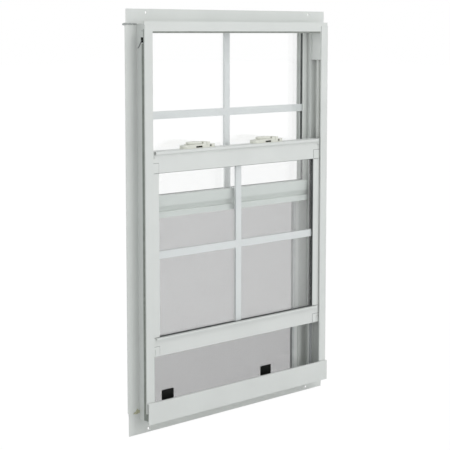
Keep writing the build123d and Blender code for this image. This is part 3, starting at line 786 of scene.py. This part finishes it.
@dataclass
class SashLocks:
    """The two cast sweep locks, with the soft edges that a casting has under its enamel."""

    base_round: float = 0.6 * MM
    lever_round: float = 1.1 * MM
    steps: int = 3
    sharp_angle: float = 35.0
    smooth_angle: float = 40.0
    slot_span: Span = (-12.9 * MM, 6.9 * MM)
    slot_rise: Span = (1.1 * MM, 4.7 * MM)
    eye_span: Span = (31.0 * MM, 35.0 * MM)
    eye_rise: Span = (2.4 * MM, 6.4 * MM)
    recess_depth: float = 2.2 * MM
    shade_plate: float = 0.6 * MM
    shade_plate_round: float = 0.2 * MM

    def cast(self, node: str, name: str, body: Body, radius: float) -> None:
        """Makes a casting with its edges rounded.

        Args:
            node: The solid that it stands for.
            name: The casting's name.
            body: Body that it rides on.
            radius: Rounding along its edges.
        """
        piece = Bench.copy(node, name)
        Bench.round_edges(piece, radius, self.steps, self.sharp_angle)
        Bench.smooth(piece, self.smooth_angle)
        fit_out(piece, body, "lock_ivory", node)

    def recess(self, side: str) -> None:
        """Makes near-black plates at the back of a casting's slot and eye, painted shade of their dark
        inside.

        Args:
            side: Name of the lock's side.
        """
        low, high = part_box(f"lock_base_{side}")
        middle = (low.x + high.x) / 2
        front = low.y + self.recess_depth
        openings = {"slot": (self.slot_span, self.slot_rise), "eye": (self.eye_span, self.eye_rise)}
        plates = []
        for name, (span, rise) in openings.items():
            near = Vector((middle + span[0], front, low.z + rise[0]))
            far = Vector((middle + span[1], front + self.shade_plate, low.z + rise[1]))
            plate = Bench.block(f"{name}_backing_{side}", near, far)
            Bench.round_edges(plate, self.shade_plate_round)
            plates.append(plate)
        shade_plate = Bench.join(f"recess_backing_{side}", plates)
        fit_out(shade_plate, Body.SASH, "zinc", finish=RECESS_SHADE)

    def build(self) -> None:
        """Makes both locks in place of the plain solids."""
        for side, body in ((Side.LEFT, Body.LEFT_LOCK), (Side.RIGHT, Body.RIGHT_LOCK)):
            name = side.label()
            self.cast(f"lock_base_{name}", f"cast_base_{name}", Body.SASH, self.base_round)
            self.cast(f"lock_lever_{name}", f"cast_lever_{name}", body, self.lever_round)
            self.recess(name)


@dataclass
class PullTabs:
    """Two moulded finger tabs on the insect screen."""

    rounding: float = 0.45 * MM
    steps: int = 3
    smooth_angle: float = 40.0

    def build(self) -> None:
        """Makes the tabs in place of the plain solids."""
        tabs = Bench.copy("screen_pull_tabs", "moulded_pull_tabs")
        Bench.round_edges(tabs, self.rounding, self.steps)
        Bench.smooth(tabs, self.smooth_angle)
        fit_out(tabs, Body.SCREEN, "tab_black", "screen_pull_tabs")


@dataclass
class SealantSmears:
    """Hand-run sealant on the left fin's seams, swollen and uneven."""

    grid: float = 0.55 * MM
    swell: float = 3.4 * MM
    swell_middle: float = 0.4
    lump: float = 5.0 * MM
    lump_depth: int = 3
    slump: float = 0.5
    slump_rounds: int = 4
    smooth_angle: float = 60.0

    def build(self) -> None:
        """Makes the smears in place of the flat ones, inside the window's box."""
        smears = Bench.copy("corner_sealant", "run_sealant")
        Bench.apply(smears, "REMESH", mode="VOXEL", voxel_size=self.grid)
        lumps = bpy.data.textures.new("sealant_lumps", "CLOUDS")
        lumps.noise_scale = self.lump
        lumps.noise_depth = self.lump_depth
        Bench.apply(
            smears,
            "DISPLACE",
            texture=lumps,
            texture_coords="LOCAL",
            strength=self.swell,
            mid_level=self.swell_middle,
        )
        Bench.apply(smears, "SMOOTH", factor=self.slump, iterations=self.slump_rounds)
        for vertex in smears.data.vertices:
            vertex.co.x = max(vertex.co.x, CAD_BOX[0][0])
        Bench.smooth(smears, self.smooth_angle)
        fit_out(smears, Body.FRAME, "sealant", "corner_sealant")


@dataclass
class CornerShadeLines:
    """Dark lines where the sash's stiles meet the faces of its rails: painted shade of the step between
    them, wider on the right, where the shade falls.
    """

    height: float = 21.0 * MM
    # The right lines are wider than the left ones because the painted shade falls on that side.
    left_width: float = 0.4 * MM
    right_width: float = 1.2 * MM
    level_width: float = 0.8 * MM
    proud: float = 0.1 * MM
    sunk: float = 0.05 * MM
    end_gap: float = 1.0 * MM
    rounding: float = 0.04 * MM

    def line(self, name: str, corner: Vector, size: Vector) -> bpy.types.Object:
        """One straight dark line of painted shade.

        Args:
            name: Name of the line.
            corner: Its lowest corner.
            size: Its length along each axis.

        Returns:
            The line.
        """
        line = Bench.block(name, corner, corner + size)
        Bench.round_edges(line, self.rounding)
        return line

    def corner(self, rail: Rail, side: Side, width: float) -> list[bpy.types.Object]:
        """The upright and the level line at one corner of the sash.

        Args:
            rail: Rail at the corner.
            side: Side of the sash.
            width: Width of the upright line.

        Returns:
            The two lines.
        """
        stile_low, stile_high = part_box("sash_stile_left")
        inner = -stile_high.x
        outer = -stile_low.x - self.end_gap
        front = stile_low.y - self.proud
        depth = self.proud + self.sunk
        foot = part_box(f"sash_{rail.value}_rail")[0].z + self.end_gap
        place = f"{rail.value}_{side.label()}"
        foot_corner = Vector((side.value * inner - width / 2, front, foot))
        upright = self.line(f"upright_{place}", foot_corner, Vector((width, depth, self.height)))
        top_corner = Vector((side.across(inner, outer)[0], front, foot + self.height))
        level_size = Vector((outer - inner, depth, self.level_width))
        return [upright, self.line(f"level_{place}", top_corner, level_size)]

    def build(self) -> None:
        """Draws the lines at all four corners."""
        lines = []
        for rail in Rail:
            lines += self.corner(rail, Side.LEFT, self.left_width)
            lines += self.corner(rail, Side.RIGHT, self.right_width)
        shade_lines = Bench.join("corner_shade_lines", lines)
        fit_out(shade_lines, Body.SASH, "sealant", finish=STEP_SHADE)


@dataclass
class AnchorHooks:
    """Thin hooks that lean out of the jambs' punched holes, each hole filled with a near-black block as
    painted shade of its unlit inside.
    """

    hole: Span = (8.6 * MM, 11.6 * MM)
    hole_from_top: float = 5.0 * MM
    hole_shade_depth: float = 3.3 * MM
    proud: float = 0.05 * MM
    width: float = 2.2 * MM
    thickness: float = 1.2 * MM
    drop: float = 16.0 * MM
    lean: float = 11.0 * MM
    tip: Point = (1.2 * MM, 1.6 * MM, -2.4 * MM)
    rounding: float = 0.3 * MM

    def middle(self) -> Vector:
        """The middle of the right jamb's hole, on the wall's outer face.

        Returns:
            The point, whose X is the wall's distance from the window's middle.
        """
        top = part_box("balance_anchor_hooks")[1].z
        screw_low, screw_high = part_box("balance_tube_screws")
        return Vector((-screw_low.x, (screw_low.y + screw_high.y) / 2, top - self.hole_from_top))

    def hole_shade(self, side: Side) -> bpy.types.Object:
        """A near-black block that fills a hole, painted shade of the unlit inside.

        Args:
            side: Side of the window.

        Returns:
            The block.
        """
        face, y, z = self.middle()
        inside, outside = side.across(face - self.hole_shade_depth, face + self.proud)
        half = Vector((0.0, self.hole[0] / 2, self.hole[1] / 2))
        hole_shade = Bench.block(
            f"bush_{side.label()}", Vector((inside, y, z)) - half, Vector((outside, y, z)) + half
        )
        Bench.round_edges(hole_shade, self.rounding)
        return hole_shade

    def prong(self, side: Side) -> bpy.types.Object:
        """The hook itself, lying on the wall and turned out at its tip.

        Args:
            side: Side of the window.

        Returns:
            The hook.
        """
        face, y, z = self.middle()
        near, far = side.across(face, face + self.thickness)
        low = Vector((near, y - self.width / 2, z - self.drop))
        high = Vector((far, y + self.width / 2, z))
        prong = Bench.block(f"hook_{side.label()}", low, high)
        Bench.select_faces(prong, lambda end: end.normal.z < -FACING)
        bpy.ops.transform.translate(value=(0.0, self.lean, 0.0))
        curl = (side.value * self.tip[0], self.tip[1], self.tip[2])
        bpy.ops.mesh.extrude_region_move(TRANSFORM_OT_translate={"value": curl})
        bpy.ops.object.mode_set(mode="OBJECT")
        Bench.round_edges(prong, self.rounding)
        return prong

    def build(self) -> None:
        """Makes the hooks in place of the plain straps, and the painted shade blocks in their holes."""
        node = "balance_anchor_hooks"
        hooks = Bench.join("bent_anchor_hooks", [self.prong(side) for side in Side])
        Bench.smooth(hooks)
        fit_out(hooks, Body.FRAME, "steel", node, finish=NODE_FINISHES[node])
        hole_shades = Bench.join("anchor_hole_shades", [self.hole_shade(side) for side in Side])
        Bench.smooth(hole_shades)
        # The blocks wear the black tab plastic as painted shade.
        fit_out(hole_shades, Body.FRAME, "tab_black")


@dataclass
class LipShadeBands:
    """Dark grey strips behind the lips of the jambs and the head, narrower beside the hooks: painted
    shade of the gap behind each lip.
    """

    lip: float = 1.6 * MM
    thickness: float = 1.2 * MM
    hook_gap: float = 2.0 * MM
    hook_room: float = 13.0 * MM
    widening: float = 5.3 * MM
    foot_gap: float = 2.0 * MM
    head_gap: float = 11.0 * MM
    rounding: float = 0.4 * MM
    steps: int = 3
    hang: Span = (0.6 * MM, 7.2 * MM)
    cover_gap: float = 0.2 * MM

    def upright(self, side: Side) -> bpy.types.Object:
        """One dark strip on a jamb's outer wall, painted shade behind the lip.

        Args:
            side: Side of the window.

        Returns:
            The strip.
        """
        jamb_low, jamb_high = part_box("jamb_left")
        hook_low, hook_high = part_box("balance_anchor_hooks")
        wall = -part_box("balance_tube_screws")[0].x
        inside, outside = side.across(wall, wall + self.thickness)
        low = Vector((inside, jamb_low.y + self.lip, jamb_low.z + self.foot_gap))
        high = Vector((outside, hook_low.y - self.hook_gap, jamb_high.z - self.head_gap))
        shade_band = Bench.block(f"tape_{side.label()}", low, high)
        step = hook_high.z - self.hook_room
        Bench.select_faces(shade_band, lambda face: True)
        bpy.ops.mesh.bisect(plane_co=(0.0, 0.0, step), plane_no=(0.0, 0.0, 1.0))
        bpy.ops.object.mode_set(mode="OBJECT")
        Bench.select_faces(shade_band, lambda face: face.normal.y > FACING and face.center.z < step)
        bpy.ops.mesh.extrude_region_move(TRANSFORM_OT_translate={"value": (0.0, self.widening, 0.0)})
        bpy.ops.object.mode_set(mode="OBJECT")
        Bench.round_edges(shade_band, self.rounding, self.steps)
        return shade_band

    def level(self) -> bpy.types.Object:
        """The strip on the back of the head's lip, which hangs a little below it as a painted shadow
        line under the head.

        Returns:
            The strip.
        """
        head_low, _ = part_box("head")
        back = head_low.y + self.lip
        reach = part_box("balance_cover_right")[0].x - self.cover_gap
        low = Vector((-reach, back, head_low.z + self.hang[0]))
        high = Vector((reach, back + self.thickness, head_low.z + self.hang[1]))
        shade_band = Bench.block("tape_head", low, high)
        Bench.round_edges(shade_band, self.rounding, self.steps)
        return shade_band

    def build(self) -> None:
        """Lays the painted shade strips on both jambs and the head."""
        strips = [self.upright(side) for side in Side] + [self.level()]
        shade_band = Bench.join("lip_foam_tape", strips)
        Bench.smooth(shade_band)
        fit_out(shade_band, Body.FRAME, "gasket_dark", finish=LIP_SHADE)


@dataclass
class InsectMesh:
    """Coated yarn stretched both ways across the screen, in two touching layers."""

    yarn: float = 0.36 * MM
    pitch: float = 1.41 * MM
    inset_share: float = 0.2
    round_share: float = 0.28
    steps: int = 1

    def strands(self, name: str, low: Vector, high: Vector, across: Axis) -> bpy.types.Object:
        """One layer of parallel yarns.

        Args:
            name: Name of the layer.
            low: Lowest corner of the layer's box.
            high: Highest corner of the layer's box.
            across: Direction in which the yarns repeat.

        Returns:
            The layer.
        """
        top = high.copy()
        top[across.value] = low[across.value] + self.yarn
        yarn = Bench.block(name, low, top)
        along = Axis.Z if across is Axis.X else Axis.X
        Bench.select_faces(yarn, lambda face: abs(face.normal[along.value]) > FACING)
        bpy.ops.mesh.inset(thickness=self.yarn * self.inset_share, depth=0.0)
        bpy.ops.object.mode_set(mode="OBJECT")
        Bench.round_edges(yarn, self.yarn * self.round_share, self.steps)
        span = high[across.value] - low[across.value]
        Bench.row(yarn, across, self.pitch, int((span - self.yarn) / self.pitch) + 1)
        return yarn

    def build(self) -> None:
        """Makes the mesh in place of the plain sheet."""
        low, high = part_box("insect_mesh")
        middle = (low.y + high.y) / 2
        front = Vector((low.x, middle - self.yarn, low.z))
        back = Vector((high.x, middle + self.yarn, high.z))
        upright = self.strands("upright_yarns", front, Vector((high.x, middle, high.z)), Axis.X)
        level = self.strands("level_yarns", Vector((low.x, middle, low.z)), back, Axis.Z)
        mesh = Bench.join("woven_insect_mesh", [upright, level])
        fit_out(mesh, Body.SCREEN, "mesh_charcoal", "insect_mesh")


@dataclass
class ScreenSpline:
    """Ribbed vinyl cord pressed into the screen's groove."""

    rib: float = 4.6 * MM
    proud: float = 0.28 * MM
    rise: float = 0.35 * MM
    crown_share: float = 0.2
    round_share: float = 0.12

    def run(self, name: str, low: Vector, high: Vector, along: Axis) -> bpy.types.Object:
        """One straight run of ribs.

        Args:
            name: Name of the run.
            low: Lowest corner of the run's box.
            high: Highest corner of the run's box.
            along: Direction of the run.

        Returns:
            The run.
        """
        length = high[along.value] - low[along.value]
        count = max(1, round(length / self.rib))
        step = length / count
        top = high.copy()
        top[along.value] = low[along.value] + step
        bead = Bench.block(name, low, top)
        Bench.select_faces(bead, lambda face: face.normal.y < -FACING)
        bpy.ops.mesh.inset(thickness=step * self.crown_share, depth=0.0)
        bpy.ops.transform.translate(value=(0.0, -self.rise, 0.0))
        bpy.ops.object.mode_set(mode="OBJECT")
        Bench.round_edges(bead, step * self.round_share)
        Bench.row(bead, along, step, count)
        return bead

    def build(self) -> None:
        """Makes the four runs in place of the plain ring."""
        low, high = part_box("screen_spline")
        rail_low, rail_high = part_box("screen_top_rail")
        width = rail_low.x + (rail_high.z - rail_low.z) - low.x
        low.y -= self.proud
        runs = []
        for side, x in ((Side.LEFT, low.x), (Side.RIGHT, high.x - width)):
            start = Vector((x, low.y, low.z + width))
            end = Vector((x + width, high.y, high.z - width))
            runs.append(self.run(f"spline_{side.label()}", start, end, Axis.Z))
        for rail, z in ((Rail.BOTTOM, low.z), (Rail.TOP, high.z - width)):
            start = Vector((low.x, low.y, z))
            end = Vector((high.x, high.y, z + width))
            runs.append(self.run(f"spline_{rail.value}", start, end, Axis.X))
        spline = Bench.join("ribbed_spline", runs)
        Bench.smooth(spline)
        fit_out(spline, Body.SCREEN, "spline_pale", "screen_spline")


@dataclass
class LeafSprings:
    """Two bowed leaf springs that press the screen down, flattening as it is lifted."""

    centres: tuple[float, float] = (-128.0 * MM, 156.0 * MM)
    thickness: float = 0.6 * MM
    steps: int = 48

    def leaf(self, name: str, x: float) -> bpy.types.Object:
        """One bowed leaf.

        Args:
            name: Name of the leaf.
            x: Its centre along the rail.

        Returns:
            The leaf.
        """
        low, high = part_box("screen_springs")
        radius = high.z - low.z - self.thickness / 2
        Bench.clear()
        place = (x, (low.y + high.y) / 2, low.z)
        bpy.ops.mesh.primitive_cylinder_add(
            vertices=self.steps,
            radius=radius,
            depth=high.y - low.y,
            end_fill_type="NOTHING",
            location=place,
            rotation=(math.pi / 2, 0.0, 0.0),
        )
        leaf = bpy.context.object
        leaf.name = name
        bpy.ops.object.transform_apply(location=True, rotation=True, scale=True)
        bpy.ops.object.mode_set(mode="EDIT")
        bpy.ops.mesh.select_all(action="SELECT")
        bpy.ops.mesh.bisect(
            plane_co=place, plane_no=(0.0, 0.0, 1.0), clear_inner=True, clear_outer=False, use_fill=False
        )
        bpy.ops.object.mode_set(mode="OBJECT")
        Bench.apply(leaf, "SOLIDIFY", thickness=self.thickness, offset=0.0)
        return leaf

    def build(self) -> None:
        """Makes both leaves in place of the rigid arches."""
        leaves = [self.leaf(f"leaf_{place}", x) for place, x in enumerate(self.centres)]
        springs = Bench.join("bowed_leaf_springs", leaves)
        Bench.smooth(springs)
        fit_out(springs, Body.SCREEN, "steel", "screen_springs")
        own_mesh(springs)


@dataclass
class StudioCamera:
    """The photograph's viewpoint."""

    place: Point = (-2.3045, -2.3140, 0.4266)
    yaw: float = 44.605
    pitch: float = 6.686
    focal_pixels: float = 1379.9
    rise_pixels: float = 30.0
    sensor: float = 36.0

    def build(self) -> None:
        """Makes the camera and looks through it."""
        data = bpy.data.cameras.new("studio_camera")
        data.sensor_fit = "HORIZONTAL"
        data.sensor_width = self.sensor
        data.lens = self.focal_pixels * self.sensor / IMAGE_SIDE
        data.shift_y = -self.rise_pixels / IMAGE_SIDE
        camera = bpy.data.objects.new("studio_camera", data)
        camera.location = self.place
        camera.rotation_euler = Euler((math.radians(90 - self.pitch), 0.0, math.radians(-self.yaw)))
        bpy.context.scene.collection.objects.link(camera)
        bpy.context.scene.camera = camera


@dataclass(frozen=True)
class Softbox:
    """A square lamp, aimed at the origin in the middle of the window."""

    name: str
    place: Point
    side: float
    power: float

    def build(self) -> None:
        """Hangs the lamp, which does not show through glass."""
        data = bpy.data.lights.new(self.name, "AREA")
        data.shape = "SQUARE"
        data.size = self.side
        data.energy = self.power
        lamp = bpy.data.objects.new(self.name, data)
        lamp.location = self.place
        lamp.visible_transmission = False
        lamp.rotation_euler = (-Vector(self.place)).to_track_quat("-Z", "Y").to_euler()
        bpy.context.scene.collection.objects.link(lamp)


# Places and sides in metres, power in watts.
SOFTBOXES = (
    Softbox("front_softbox", (0.7, -4.4, 0.7), 2.6, 38.0),
    Softbox("top_softbox", (0.5, -2.4, 3.2), 1.6, 24.0),
    Softbox("left_softbox", (-3.6, -3.2, 0.6), 2.2, 6.0),
    Softbox("back_softbox", (-2.2, 3.8, 1.2), 2.2, 42.0),
)


@dataclass
class Studio:
    """Soft light, white surroundings and a pale floor that keeps the shadow."""

    sky_colour: Colour = (0.95, 0.98, 1.0)
    sky_level: float = 0.56
    floor_colour: Colour = (0.93, 0.93, 0.93)
    floor_side: float = 60.0
    floor_drop: float = 1.0 * MM
    floor_shadow: float = 0.04
    floor_glow: float = 1.03
    half_bounce: float = 0.5

    @staticmethod
    def reckon(
        tree: bpy.types.NodeTree,
        operation: str,
        first: bpy.types.NodeSocket,
        second: bpy.types.NodeSocket | float,
    ) -> bpy.types.NodeSocket:
        """One step of arithmetic.

        Args:
            tree: Node tree to add the step to.
            operation: The Math node's operation.
            first: First value.
            second: Second value, from a socket or constant.

        Returns:
            The result's socket.
        """
        node = tree.nodes.new("ShaderNodeMath")
        node.operation = operation
        tree.links.new(first, node.inputs[0])
        if isinstance(second, float):
            node.inputs[1].default_value = second
        else:
            tree.links.new(second, node.inputs[1])
        return node.outputs["Value"]

    def seen(self, tree: bpy.types.NodeTree) -> bpy.types.NodeSocket:
        """A factor of one on rays that reach the eye straight, mirrored or through glass.

        Args:
            tree: Node tree to add the test to.

        Returns:
            The factor's socket.
        """
        path = tree.nodes.new("ShaderNodeLightPath")
        total = path.outputs["Is Camera Ray"]
        for ray in ("Is Glossy Ray", "Is Transmission Ray"):
            total = self.reckon(tree, "MAXIMUM", total, path.outputs[ray])
        direct = self.reckon(tree, "LESS_THAN", path.outputs["Diffuse Depth"], self.half_bounce)
        return self.reckon(tree, "MULTIPLY", total, direct)

    def world(self) -> None:
        """White to the camera and through glass, and a plain sky level on the object."""
        world = bpy.data.worlds.new("studio_world")
        world.use_nodes = True
        bpy.context.scene.world = world
        tree = world.node_tree
        sky = tree.nodes["Background"]
        sky.inputs["Color"].default_value = (*self.sky_colour, 1.0)
        sky.inputs["Strength"].default_value = self.sky_level
        white = tree.nodes.new("ShaderNodeBackground")
        white.inputs["Color"].default_value = (*WHITE, 1.0)
        surface = blend(tree, self.seen(tree), sky.outputs["Background"], white.outputs["Background"])
        tree.links.new(surface, tree.nodes["World Output"].inputs["Surface"])

    def floor(self) -> None:
        """A wide pale floor under the window."""
        Bench.clear()
        low = CAD_BOX[0][2] - self.floor_drop
        bpy.ops.mesh.primitive_plane_add(size=self.floor_side, location=(0.0, 0.0, low))
        plane = bpy.context.object
        plane.name = "studio_floor"
        graph = Graph("studio_floor")
        graph.set(Roughness=1.0, Specular_IOR_Level=0.0)
        graph.shader.inputs["Base Color"].default_value = (*self.floor_colour, 1.0)
        glow = graph.tree.nodes.new("ShaderNodeEmission")
        glow.inputs["Strength"].default_value = self.floor_glow
        share = self.reckon(graph.tree, "MULTIPLY", self.seen(graph.tree), 1.0 - self.floor_shadow)
        surface = blend(graph.tree, share, graph.shader.outputs["BSDF"], glow.outputs["Emission"])
        graph.link(surface, graph.output.inputs["Surface"])
        plane.data.materials.append(graph.material)

    def build(self) -> None:
        """Sets up the whole studio."""
        self.world()
        self.floor()
        for softbox in SOFTBOXES:
            softbox.build()


def main() -> None:
    """Dresses the window and sets up the studio."""
    logging.basicConfig(level=logging.INFO, format="%(name)s: %(message)s")
    Wardrobe.dress()
    InsectMesh().build()
    ScreenSpline().build()
    LeafSprings().build()
    SashLocks().build()
    PullTabs().build()
    SealantSmears().build()
    LipShadeBands().build()
    AnchorHooks().build()
    CornerShadeLines().build()
    StudioCamera().build()
    Studio().build()
    bpy.context.scene.view_settings.view_transform = "Standard"


if __name__ == "__main__":
    main()
